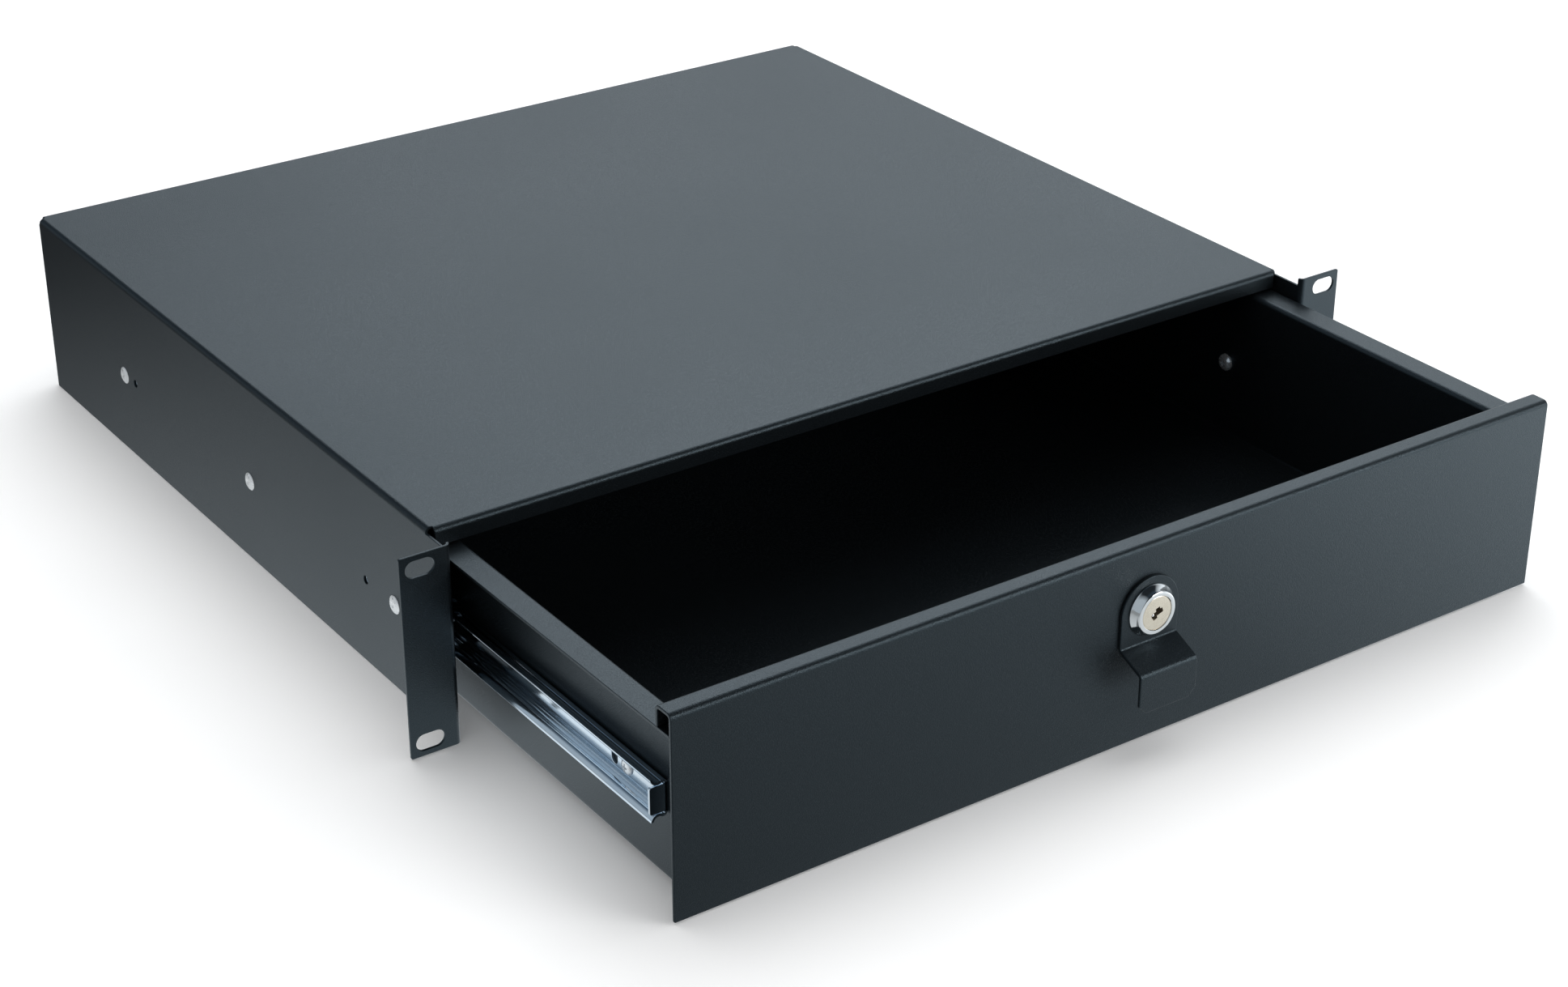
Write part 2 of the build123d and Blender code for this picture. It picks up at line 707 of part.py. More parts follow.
def lock_plug():
    """Stepped plug with a square tail for the cam and a tapped end."""
    end = CAM_FACE + CAM_SHEET
    plug = turned([
        (0, LOCK_FACE + PLUG_RECESS),
        (PLUG_DIAMETER / 2 - LOCK_EDGE, LOCK_FACE + PLUG_RECESS),
        (PLUG_DIAMETER / 2, LOCK_FACE + PLUG_RECESS + LOCK_EDGE),
        (PLUG_DIAMETER / 2, PLUG_STEP - LOCK_PLAY),
        (PLUG_TAIL / 2, PLUG_STEP - LOCK_PLAY),
        (PLUG_TAIL / 2, CAM_FACE),
        (0, CAM_FACE),
    ])
    square = block(
        -CAM_SQUARE / 2, CAM_SQUARE / 2, CAM_FACE, end, -CAM_SQUARE / 2, CAM_SQUARE / 2
    )
    tapped = rod_y(CAM_SCREW / 2 + HOLE_PLAY / 2, end - CAM_SCREW_LENGTH, end, 0, 0)
    return at_lock(plug + square - tapped - keyway())


def lock_washer():
    ring = Circle(LOCK_WASHER / 2) - barrel_section(
        LOCK_BARREL / 2 + LOCK_HOLE_PLAY, LOCK_FLATS + 2 * LOCK_HOLE_PLAY
    )
    return at_lock(along_y(ring, TRAY_WALL_BACK, TRAY_WALL_BACK + LOCK_WASHER_SHEET))


def lock_nut():
    start = TRAY_WALL_BACK + LOCK_WASHER_SHEET
    ring = RegularPolygon(LOCK_NUT_FLATS / 2, 6, major_radius=False) - Circle(
        LOCK_BARREL / 2 + LOCK_HOLE_PLAY
    )
    return at_lock(along_y(ring, start, start + LOCK_NUT_HEIGHT))


def lock_cam():
    """A flat cam, lying to the right while the drawer is unlocked."""
    reach = CAM_LENGTH - CAM_WIDTH / 2
    plate = Circle(CAM_WIDTH / 2) + Pos(reach, 0) * Circle(CAM_WIDTH / 2)
    plate = plate + Pos(reach / 2, 0) * Rectangle(reach, CAM_WIDTH)
    hole = CAM_SQUARE + 2 * CAM_PLAY
    return at_lock(along_y(plate - Rectangle(hole, hole), CAM_FACE, CAM_FACE + CAM_SHEET))


def cam_washer():
    start = CAM_FACE + CAM_SHEET
    ring = Circle(CAM_WASHER / 2) - Circle(CAM_SCREW / 2 + HOLE_PLAY / 2)
    return at_lock(along_y(ring, start, start + CAM_WASHER_SHEET))


def cam_screw():
    seat = CAM_FACE + CAM_SHEET + CAM_WASHER_SHEET
    shank = rod_y(CAM_SCREW / 2, seat - CAM_SCREW_LENGTH, seat, 0, 0)
    head = pan_head(CAM_SCREW_HEAD, CAM_SCREW_HEAD_HEIGHT)
    head = Pos(0, seat, 0) * Rot(-90, 0, 0) * head
    return at_lock(shank + head)


# Assembly

def shifted(piece, forward):
    return Pos(0, -forward, 0) * piece


def write(name, pieces):
    """One file for a node, which may hold several separate solids."""
    solids = pieces if isinstance(pieces, (list, tuple)) else [pieces]
    found = [solid for piece in solids for solid in piece.solids()]
    export_step(Compound(children=found), "parts/" + name + ".step")


def write_pair(name, pieces, forward):
    """The right and left copies of a node drawn on the right."""
    group = pieces if isinstance(pieces, (list, tuple)) else [pieces]
    right = [shifted(piece, forward) for piece in group]
    write(name + "_right", right)
    write(name + "_left", [mirror(piece, about=Plane.YZ) for piece in right])


os.makedirs("parts", exist_ok=True)
write("casing_shell", casing_shell())
write_pair("outer_rail", outer_rail(), 0)
write_pair("rail_rivets", rivets(), 0)
write_pair("ball_cage", ball_cage(), DRAWER_OPEN / 2)
write_pair("slide_balls", balls(), DRAWER_OPEN / 2)
write_pair("inner_rail", inner_rail(), DRAWER_OPEN)
write_pair("rail_screws", rail_screws(), DRAWER_OPEN)
write_pair("rail_nuts", rail_nuts(), DRAWER_OPEN)
write("drawer_tray", shifted(drawer_tray(), DRAWER_OPEN))
write("tray_front_wall", shifted(tray_front_wall(), DRAWER_OPEN))
write("tray_rear_wall", shifted(tray_rear_wall(), DRAWER_OPEN))
write("front_panel", shifted(front_panel(), DRAWER_OPEN))
write("pull_plate", shifted(pull_plate(), DRAWER_OPEN))
write("lock_barrel", shifted(lock_barrel(), DRAWER_OPEN))
write("lock_washer", shifted(lock_washer(), DRAWER_OPEN))
write("lock_nut", shifted(lock_nut(), DRAWER_OPEN))
write("lock_plug", shifted(lock_plug(), DRAWER_OPEN))
write("lock_cam", shifted(lock_cam(), DRAWER_OPEN))
write("cam_washer", shifted(cam_washer(), DRAWER_OPEN))
write("cam_screw", shifted(cam_screw(), DRAWER_OPEN))
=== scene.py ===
import math

import bmesh
import bpy
from mathutils import Matrix, Vector


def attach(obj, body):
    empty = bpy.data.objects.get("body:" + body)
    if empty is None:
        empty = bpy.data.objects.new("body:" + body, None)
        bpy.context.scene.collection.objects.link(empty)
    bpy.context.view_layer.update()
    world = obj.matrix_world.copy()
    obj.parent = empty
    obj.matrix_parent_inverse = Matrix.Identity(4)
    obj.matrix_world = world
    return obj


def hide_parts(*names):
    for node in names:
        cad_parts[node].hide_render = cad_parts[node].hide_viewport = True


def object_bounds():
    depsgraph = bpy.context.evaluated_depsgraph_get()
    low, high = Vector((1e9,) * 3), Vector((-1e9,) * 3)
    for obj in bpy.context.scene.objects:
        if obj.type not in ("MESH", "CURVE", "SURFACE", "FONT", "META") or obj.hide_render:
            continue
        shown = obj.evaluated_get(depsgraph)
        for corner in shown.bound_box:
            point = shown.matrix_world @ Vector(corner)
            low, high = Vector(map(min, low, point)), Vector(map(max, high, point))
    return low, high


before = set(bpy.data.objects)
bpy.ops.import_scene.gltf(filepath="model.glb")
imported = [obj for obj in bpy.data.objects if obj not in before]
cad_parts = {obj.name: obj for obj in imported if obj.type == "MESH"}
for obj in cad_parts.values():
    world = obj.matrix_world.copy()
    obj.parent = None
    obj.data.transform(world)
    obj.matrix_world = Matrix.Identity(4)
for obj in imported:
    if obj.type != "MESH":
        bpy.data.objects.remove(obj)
cad_low, cad_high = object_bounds()


# Casing: one steel sheet folded into top, sides, back and a narrow front lip, with the
# rack ears folded out at the front corners. It is powder coated in a fine, dark texture,
# which rounds every cut edge a little.

def merged_copy(node):
    """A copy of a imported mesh, its loose triangles joined into whole faces."""
    mesh = bmesh.new()
    mesh.from_mesh(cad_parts[node].data)
    bmesh.ops.remove_doubles(mesh, verts=mesh.verts, dist=0.00001)
    bmesh.ops.dissolve_limit(
        mesh, angle_limit=math.radians(0.4), verts=mesh.verts, edges=mesh.edges)
    return mesh


def round_rims(mesh, radius, above, segments=2):
    """Rounds every edge that turns by more than the angle given."""
    rims = [
        edge for edge in mesh.edges
        if len(edge.link_faces) == 2 and edge.calc_face_angle() > math.radians(above)
    ]
    bmesh.ops.bevel(
        mesh, geom=rims, offset=radius, offset_type="OFFSET", segments=segments,
        profile=0.5, affect="EDGES", material=-1, clamp_overlap=False)


def shown(mesh, name, body, finish, record_slot, *nodes, sharp=48):
    """Turns a finished mesh into a piece on its body, smooth but for its sharp edges."""
    data = bpy.data.meshes.new(name)
    mesh.to_mesh(data)
    mesh.free()
    for face in data.polygons:
        face.use_smooth = True
    data.set_sharp_from_angle(angle=math.radians(sharp))
    data.materials.append(finish)
    piece = bpy.data.objects.new(name, data)
    bpy.context.scene.collection.objects.link(piece)
    even = piece.modifiers.new("even_shading", "WEIGHTED_NORMAL")
    even.keep_sharp = True
    even.weight = 80
    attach(piece, body)
    if nodes:
        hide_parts(*nodes)
    return piece


def new_group(name, inputs, outputs):
    """An empty shader node group with the named sockets."""
    group = bpy.data.node_groups.new(name, "ShaderNodeTree")
    for label, kind, start in inputs:
        socket = group.interface.new_socket(name=label, in_out="INPUT", socket_type=kind)
        socket.default_value = start
    for label, kind in outputs:
        group.interface.new_socket(name=label, in_out="OUTPUT", socket_type=kind)
    return group, group.nodes.new("NodeGroupInput"), group.nodes.new("NodeGroupOutput")


def noise(tree, where, scale, detail=2.0, roughness=0.5):
    node = tree.nodes.new("ShaderNodeTexNoise")
    node.inputs["Detail"].default_value = detail
    node.inputs["Roughness"].default_value = roughness
    tree.links.new(where, node.inputs["Vector"])
    if isinstance(scale, (int, float)):
        node.inputs["Scale"].default_value = scale
    else:
        tree.links.new(scale, node.inputs["Scale"])
    return node.outputs["Fac"]


def spread(tree, value, low, high, to_low, to_high):
    """Maps a value from one range to another, held at both ends."""
    node = tree.nodes.new("ShaderNodeMapRange")
    tree.links.new(value, node.inputs["Value"])
    for label, number in zip(("From Min", "From Max", "To Min", "To Max"),
                             (low, high, to_low, to_high)):
        node.inputs[label].default_value = number
    return node.outputs["Result"]


def combine(tree, kind, a, b):
    node = tree.nodes.new("ShaderNodeMath")
    node.operation = kind
    for socket, value in zip(node.inputs, (a, b)):
        if isinstance(value, (int, float)):
            socket.default_value = value
        else:
            tree.links.new(value, socket)
    return node.outputs["Value"]


def blended(tree, factor, first, second):
    """A colour between two colours."""
    node = tree.nodes.new("ShaderNodeMix")
    node.data_type = "RGBA"
    tree.links.new(factor, node.inputs["Factor"])
    for label, colour in (("A", first), ("B", second)):
        socket = next(s for s in node.inputs if s.name == label and s.type == "RGBA")
        if isinstance(colour, tuple):
            socket.default_value = (*colour, 1.0)
        else:
            tree.links.new(colour, socket)
    return next(s for s in node.outputs if s.type == "RGBA")


def new_material(name, **constants):
    """A material with its surface shader and its object coordinates ready."""
    material = bpy.data.materials.new(name)
    material.use_nodes = True
    tree = material.node_tree
    surface = next(n for n in tree.nodes if n.type == "BSDF_PRINCIPLED")
    for label, value in constants.items():
        surface.inputs[label.replace("_", " ")].default_value = value
    place = tree.nodes.new("ShaderNodeTexCoord").outputs["Object"]
    return material, tree, surface, place


def bump(tree, surface, height, distance, strength=1.0):
    node = tree.nodes.new("ShaderNodeBump")
    node.inputs["Distance"].default_value = distance
    node.inputs["Strength"].default_value = strength
    tree.links.new(height, node.inputs["Height"])
    tree.links.new(node.outputs["Normal"], surface.inputs["Normal"])


def placed_group(tree, group, where, **values):
    node = tree.nodes.new("ShaderNodeGroup")
    node.node_tree = group
    tree.links.new(where, node.inputs["Place"])
    for label, value in values.items():
        node.inputs[label.replace("_", " ")].default_value = value
    return node


def make_coat_texture():
    """Grit of the powder, the slow waves of its melt, and a slow drift in its gloss."""
    group, given, out = new_group(
        "coat_texture",
        [("Place", "NodeSocketVector", (0, 0, 0)), ("Grit Scale", "NodeSocketFloat", 1100.0),
         ("Wave Scale", "NodeSocketFloat", 260.0)],
        [("Height", "NodeSocketFloat"), ("Grit", "NodeSocketFloat"),
         ("Drift", "NodeSocketFloat")])
    where = given.outputs["Place"]
    grit = noise(group, where, given.outputs["Grit Scale"], 2.0, 0.55)
    waves = noise(group, where, given.outputs["Wave Scale"], 1.0)
    drift = noise(group, where, 7.0, 2.0)
    height = combine(group, "ADD", grit, combine(group, "MULTIPLY", waves, 0.12))
    group.links.new(height, out.inputs["Height"])
    group.links.new(spread(group, grit, 0.32, 0.68, 0.0, 1.0), out.inputs["Grit"])
    group.links.new(spread(group, drift, 0.3, 0.7, 0.0, 1.0), out.inputs["Drift"])
    return group


coat_texture = make_coat_texture()


def make_powder_coat(name, grit_valley_shade, grit_crest_highlight, grit_scale):
    material, tree, surface, place = new_material(
        name, IOR=1.52, Specular_Tint=(0.66, 0.87, 1.0, 1.0))
    coat = placed_group(tree, coat_texture, place, Grit_Scale=grit_scale)
    # The colour follows the grit's height: darker in its valleys as painted shade, lighter on
    # its crests as a painted highlight.
    colour = blended(tree, coat.outputs["Grit"], grit_valley_shade, grit_crest_highlight)
    tree.links.new(colour, surface.inputs["Base Color"])
    rough = combine(
        tree, "ADD",
        spread(tree, coat.outputs["Drift"], 0.0, 1.0, 0.30, 0.34),
        spread(tree, coat.outputs["Grit"], 0.0, 1.0, 0.06, -0.06))
    tree.links.new(rough, surface.inputs["Roughness"])
    bump(tree, surface, coat.outputs["Height"], 0.00013)
    return material


# The first colour is the painted shade in the grit's valleys, the second the painted highlight
# on its crests.
casing_coat = make_powder_coat(
    "casing_powder_coat", (0.0030, 0.0040, 0.0048), (0.0070, 0.0086, 0.0100), 2300.0)

coated_edge = 0.00022
casing = merged_copy("casing_shell")
round_rims(casing, coated_edge, 55)
shown(casing, "casing", "casing", casing_coat, "powder_coat", "casing_shell")


# Rivets: three blind rivets a side hold each casing rail. Each is soft aluminium with a
# domed head outside, a dimple where its pin broke off, and a flattened tail inside.

def turned(profile, steps, closed=False):
    """A round piece about Z from its half profile, given as (radius, height) pairs."""
    mesh = bmesh.new()
    points = [mesh.verts.new((radius, 0.0, height)) for radius, height in profile]
    pairs = list(zip(points, points[1:])) + ([(points[-1], points[0])] if closed else [])
    lines = [mesh.edges.new(pair) for pair in pairs]
    bmesh.ops.spin(
        mesh, geom=points + lines, cent=(0, 0, 0), axis=(0, 0, 1), angle=2 * math.pi,
        steps=steps, use_merge=True, use_duplicate=False)
    bmesh.ops.remove_doubles(mesh, verts=mesh.verts, dist=0.000002)
    bmesh.ops.recalc_face_normals(mesh, faces=mesh.faces)
    return mesh


def pointing(direction, place):
    """The turn and move that take a piece from +Z at the origin to its place."""
    turn = Vector(direction).to_track_quat("Z", "Y").to_matrix().to_4x4()
    return Matrix.Translation(place) @ turn


def gather(meshes):
    """Several meshes as one, for like pieces that share a node."""
    whole = bmesh.new()
    for mesh in meshes:
        carrier = bpy.data.meshes.new("carrier")
        mesh.to_mesh(carrier)
        mesh.free()
        whole.from_mesh(carrier)
        bpy.data.meshes.remove(carrier)
    return whole


def make_rivet_metal():
    material, tree, surface, place = new_material("rivet_metal", Metallic=0.55)
    mottle = noise(tree, place, 900.0, 3.0)
    colour = blended(tree, mottle, (0.80, 0.81, 0.82), (0.95, 0.95, 0.94))
    tree.links.new(colour, surface.inputs["Base Color"])
    tree.links.new(spread(tree, mottle, 0.3, 0.7, 0.24, 0.4), surface.inputs["Roughness"])
    bump(tree, surface, mottle, 0.00004, 0.6)
    return material


rivet_metal = make_rivet_metal()
rivet_profile = [
    (0.0, 0.00082), (0.0007, 0.00084), (0.00105, 0.00112), (0.0013, 0.00124),
    (0.0019, 0.00121), (0.0026, 0.00102), (0.0032, 0.00074), (0.0036, 0.00048),
    (0.00385, 0.00034), (0.00397, 0.0002), (0.00397, 0.0),
    (0.002, 0.0), (0.002, -0.0024), (0.0029, -0.00245), (0.00318, -0.0028),
    (0.003, -0.00325), (0.0022, -0.0034), (0.0, -0.0034),
]
rivet_depths = (0.0484, 0.1784, 0.3084)
rail_height = -0.0044
casing_side = 0.220
for side, label in ((-1, "left"), (1, "right")):
    heads = []
    for depth in rivet_depths:
        rivet = turned(rivet_profile, 40)
        bmesh.ops.transform(
            rivet, matrix=pointing((side, 0, 0), (side * casing_side, depth, rail_height)),
            verts=rivet.verts)
        heads.append(rivet)
    shown(gather(heads), "rivets_" + label, "casing", rivet_metal, "rivet_aluminium",
          "rail_rivets_" + label)


# Slides: each is a rolled rail on the casing, a smaller one on the drawer, and a cage of
# steel balls between them. The rails are blue zinc-plated steel, drawn along their length.

def make_rolled_streaks():
    """Fine lines along Y from rolling, and the cloudy tone of thin zinc."""
    group, given, out = new_group(
        "rolled_streaks",
        [("Place", "NodeSocketVector", (0, 0, 0)), ("Line Scale", "NodeSocketFloat", 1500.0)],
        [("Lines", "NodeSocketFloat"), ("Cloud", "NodeSocketFloat")])
    stretch = group.nodes.new("ShaderNodeMapping")
    stretch.inputs["Scale"].default_value = (1.0, 0.012, 1.0)
    group.links.new(given.outputs["Place"], stretch.inputs["Vector"])
    lines = noise(group, stretch.outputs["Vector"], given.outputs["Line Scale"], 2.0)
    cloud = noise(group, given.outputs["Place"], 90.0, 3.0)
    group.links.new(lines, out.inputs["Lines"])
    group.links.new(cloud, out.inputs["Cloud"])
    return group


rolled_streaks = make_rolled_streaks()


def make_zinc(name, cold, warm, smooth, coarse, metallic=1.0):
    material, tree, surface, place = new_material(name, Metallic=metallic)
    rolled = placed_group(tree, rolled_streaks, place)
    colour = blended(
        tree, spread(tree, rolled.outputs["Cloud"], 0.3, 0.7, 0.0, 1.0), cold, warm)
    tree.links.new(colour, surface.inputs["Base Color"])
    tree.links.new(
        spread(tree, rolled.outputs["Lines"], 0.3, 0.7, smooth, coarse),
        surface.inputs["Roughness"])
    bump(tree, surface, rolled.outputs["Lines"], 0.000005, 0.5)
    return material


rail_zinc = make_zinc("rail_zinc", (0.70, 0.79, 0.88), (0.80, 0.86, 0.91), 0.09, 0.16)
cage_zinc = make_zinc("cage_zinc", (0.58, 0.60, 0.62), (0.70, 0.71, 0.72), 0.22, 0.36)


def make_ball_steel():
    material, tree, surface, place = new_material("ball_steel", Metallic=1.0)
    film = noise(tree, place, 700.0, 2.0)
    tree.links.new(
        blended(tree, film, (0.60, 0.59, 0.55), (0.78, 0.78, 0.78)),
        surface.inputs["Base Color"])
    tree.links.new(spread(tree, film, 0.3, 0.7, 0.06, 0.18), surface.inputs["Roughness"])
    return material


ball_steel = make_ball_steel()
for label in ("left", "right"):
    for rail, body in (("outer_rail_", "casing"), ("inner_rail_", "drawer")):
        section = merged_copy(rail + label)
        round_rims(section, 0.00018, 50)
        shown(section, rail.replace("_rail_", "_slide_rail_") + label, body, rail_zinc,
              "zinc_plate", rail + label)
    cage = merged_copy("ball_cage_" + label)
    round_rims(cage, 0.00008, 60, segments=1)
    shown(cage, "cage_" + label, "cage_" + label, cage_zinc, "zinc_plate",
          "ball_cage_" + label)
    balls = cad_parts["slide_balls_" + label]
    balls.data.materials.clear()
    balls.data.materials.append(ball_steel)


# Rail fixings: pan-head screws with a cross recess and plain hexagon nuts, zinc plated.
# The front one is driven from the slide's open side, the others from inside the tray.

def cut(mesh, cutter, kind="DIFFERENCE"):
    """The mesh less the cutter, or what the two share."""
    objects = []
    for label, part in (("body", mesh), ("cutter", cutter)):
        data = bpy.data.meshes.new(label)
        part.to_mesh(data)
        part.free()
        thing = bpy.data.objects.new(label, data)
        bpy.context.scene.collection.objects.link(thing)
        objects.append(thing)
    body, tool = objects
    change = body.modifiers.new("cut", "BOOLEAN")
    change.operation = kind
    change.solver = "EXACT"
    change.object = tool
    graph = bpy.context.evaluated_depsgraph_get()
    made = bpy.data.meshes.new_from_object(body.evaluated_get(graph))
    result = bmesh.new()
    result.from_mesh(made)
    bpy.data.meshes.remove(made)
    for thing in objects:
        data = thing.data
        bpy.data.objects.remove(thing)
        bpy.data.meshes.remove(data)
    bmesh.ops.remove_doubles(result, verts=result.verts, dist=0.000002)
    return result


def box(size, centre, turn=0.0):
    """A block about a centre, turned about Z."""
    mesh = bmesh.new()
    bmesh.ops.create_cube(mesh, size=1.0)
    bmesh.ops.scale(mesh, vec=size, verts=mesh.verts)
    bmesh.ops.rotate(mesh, cent=(0, 0, 0), matrix=Matrix.Rotation(turn, 3, "Z"),
                     verts=mesh.verts)
    bmesh.ops.translate(mesh, vec=centre, verts=mesh.verts)
    return mesh


def cross_recess(across, wide, bottom, top):
    """A cutter for a cross recess, its four wings narrowing to the bottom."""
    wings = []
    for turn in (0.0, math.pi / 2):
        wing = box((across, wide, top - bottom), (0, 0, (bottom + top) / 2), turn)
        low = [v for v in wing.verts if v.co.z < (bottom + top) / 2]
        bmesh.ops.scale(wing, vec=(0.55, 0.55, 1.0), verts=low)
        wings.append(wing)
    return cut(wings[0], wings[1], "UNION")


def pan_screw(length, radius, height):
    """A pan-head screw about Z: head above the seat at zero, ridged shank below it."""
    shape = ((0.0, 1.0), (0.32, 0.98), (0.6, 0.89), (0.81, 0.69), (0.96, 0.4), (1.0, 0.18),
             (0.995, 0.04), (0.95, 0.0))
    head = [(radius * across, height * up) for across, up in shape]
    shank = [(0.002, 0.0)]
    depth = 0.0004
    while depth < length - 0.0006:
        shank += [(0.00198, -depth), (0.00168, -depth - 0.00035)]
        depth += 0.0007
    shank += [(0.0015, -length), (0.0, -length)]
    screw = turned(head + shank, 40)
    return cut(screw, cross_recess(0.0037, 0.00095, height * 0.45, height * 1.2))


def hex_nut(flats, height, bore):
    """A nut about Z, standing on zero, its corners turned off at both ends."""
    prism = bmesh.new()
    bmesh.ops.create_cone(
        prism, cap_ends=True, segments=6, radius1=flats / math.sqrt(3),
        radius2=flats / math.sqrt(3), depth=height)
    bmesh.ops.translate(prism, vec=(0, 0, height / 2), verts=prism.verts)
    rim = flats / 2 * 0.96
    tall = flats / math.sqrt(3) * 1.02
    slope = (tall - rim) * 0.55
    lathe = turned([(bore + slope, 0.0), (rim, 0.0), (tall, slope), (tall, height - slope),
                    (rim, height), (bore + slope, height), (bore, height - slope),
                    (bore, slope)], 48, closed=True)
    return cut(prism, lathe, "INTERSECT")


screw_zinc = make_zinc(
    "screw_zinc", (0.72, 0.75, 0.78), (0.86, 0.88, 0.90), 0.16, 0.28, metallic=0.75)
screw_depths = (0.0446, 0.1792, 0.3138)
drawer_forward = 0.149
tray_wall_out = 0.2061
tray_wall_in = 0.2049
rail_web = 0.0012
for side, label in ((-1, "left"), (1, "right")):
    screws, nuts = [], []
    for number, depth in enumerate(screw_depths):
        if number == 0:
            seat, nut_seat, facing = tray_wall_out + rail_web, tray_wall_in, side
            screw = pan_screw(length=0.0048, radius=0.0034, height=0.00148)
        else:
            seat, nut_seat, facing = tray_wall_in, tray_wall_out + rail_web, -side
            screw = pan_screw(length=0.0048, radius=0.0042, height=0.0025)
        spot = depth - drawer_forward
        bmesh.ops.transform(
            screw, matrix=pointing((facing, 0, 0), (side * seat, spot, rail_height)),
            verts=screw.verts)
        nut = hex_nut(flats=0.007, height=0.0024, bore=0.00203)
        bmesh.ops.transform(
            nut, matrix=pointing((-facing, 0, 0), (side * nut_seat, spot, rail_height)),
            verts=nut.verts)
        screws.append(screw)
        nuts.append(nut)
    shown(gather(screws), "rail_screw_set_" + label, "drawer", screw_zinc, "zinc_plate",
          "rail_screws_" + label, sharp=35)
    shown(gather(nuts), "rail_nut_set_" + label, "drawer", cage_zinc, "zinc_plate",
          "rail_nuts_" + label, sharp=35)


# Drawer tray: one sheet folded into floor, sides and outward top flanges, with two end
# walls spot welded between the sides, all coated together with the front panel.

# The first colour is the painted shade in the grit's valleys, the second the painted highlight
# on its crests.
drawer_coat = make_powder_coat(
    "drawer_powder_coat", (0.0030, 0.0040, 0.0048), (0.0070, 0.0086, 0.0100), 2300.0)
for node, name in (("drawer_tray", "tray"), ("tray_front_wall", "tray_front"),
                   ("tray_rear_wall", "tray_rear")):
    sheet = merged_copy(node)
    round_rims(sheet, coated_edge, 55)
    shown(sheet, name, "drawer", drawer_coat, "powder_coat", node)


# Front panel: one piece of thicker steel sheet spot welded to the tray's front wall. Its top
# edge is folded back and down over the tray, and it is coated together with the tray.

thick_edge = 0.0004
panel = merged_copy("front_panel")
round_rims(panel, thick_edge, 55)
shown(panel, "panel", "drawer", drawer_coat, "powder_coat", "front_panel")


# Pull: a tongue of the same coated sheet, held against the panel by the lock's head and
# bent out and down, so that fingers go in behind its lip.

pull = merged_copy("pull_plate")
round_rims(pull, thick_edge, 40)
shown(pull, "pull", "drawer", drawer_coat, "powder_coat", "pull_plate")


# Lock body: a chromed bezel and a threaded barrel with two flats, cast in one piece and
# held by a washer and a thin nut behind the tray's front wall.

def make_chrome():
    material, tree, surface, place = new_material("lock_chrome", Metallic=1.0)
    haze = noise(tree, place, 500.0, 3.0)
    tree.links.new(
        blended(tree, haze, (0.84, 0.84, 0.84), (0.93, 0.93, 0.92)),
        surface.inputs["Base Color"])
    tree.links.new(spread(tree, haze, 0.35, 0.75, 0.05, 0.13), surface.inputs["Roughness"])
    bump(tree, surface, haze, 0.000006, 0.4)
    return material


def flattened(mesh, half):
    """Cuts a round piece off at two flats, left and right of its axis."""
    for side in (-1, 1):
        found = bmesh.ops.bisect_plane(
            mesh, geom=mesh.verts[:] + mesh.edges[:] + mesh.faces[:], dist=0.000001,
            plane_co=(side * half, 0, 0), plane_no=(side, 0, 0), clear_outer=True)
        edges = [e for e in found["geom_cut"] if isinstance(e, bmesh.types.BMEdge)]
        bmesh.ops.triangle_fill(mesh, edges=edges, use_beauty=True)
    return mesh


lock_axis = (0.0, -drawer_forward, 0.015)
chrome = make_chrome()
plug_bore = 0.00725
bezel_profile = [
    (plug_bore, 0.0), (plug_bore, 0.00385), (0.00738, 0.00398), (0.0078, 0.004),
    (0.0086, 0.0040), (0.0090, 0.00388), (0.0092, 0.0036), (0.00935, 0.0031),
    (0.00975, 0.0022), (0.0103, 0.0014), (0.01075, 0.00095), (0.01098, 0.0006),
    (0.011, 0.0003), (0.0108, 0.0),
]
bezel = turned(bezel_profile, 96, closed=True)
thread = [(0.0083, 0.0), (0.0092, 0.0)]
thread_depth = 0.0028
while thread_depth < 0.0168:
    thread += [(0.0092, -thread_depth), (0.0095, -thread_depth - 0.0004)]
    thread_depth += 0.0008
thread += [(0.0090, -0.0172), (0.0088, -0.0175), (0.00555, -0.0175), (0.00555, -0.0086),
           (plug_bore, -0.0085), (plug_bore, 0.0)]
barrel_flat = 0.0083
barrel = flattened(turned(thread, 72, closed=True), barrel_flat)
lock_body = gather([bezel, barrel])
lock_front = (0, -1, 0)
pull_sheet = 0.0015
seat_on_pull = Vector(lock_axis) + Vector((0, -pull_sheet, 0))
bmesh.ops.transform(lock_body, matrix=pointing(lock_front, seat_on_pull), verts=lock_body.verts)
shown(lock_body, "lock_body", "drawer", chrome, "lock_chrome", "lock_barrel", sharp=38)

washer = merged_copy("lock_washer")
round_rims(washer, 0.00012, 60)
shown(washer, "lock_seat_washer", "drawer", cage_zinc, "zinc_plate", "lock_washer")
nut = hex_nut(flats=0.023, height=0.0036, bore=0.0096)
washer_back = 0.0035
nut_seat = Vector(lock_axis) + Vector((0, washer_back, 0))
bmesh.ops.transform(nut, matrix=pointing((0, 1, 0), nut_seat), verts=nut.verts)
shown(nut, "lock_ring_nut", "drawer", cage_zinc, "zinc_plate", "lock_nut", sharp=35)


# Lock plug: a nickel-plated cylinder with a stepped key slot, turned in fine rings on its
# face. Inside the slot the edge of the first pin catches the light.

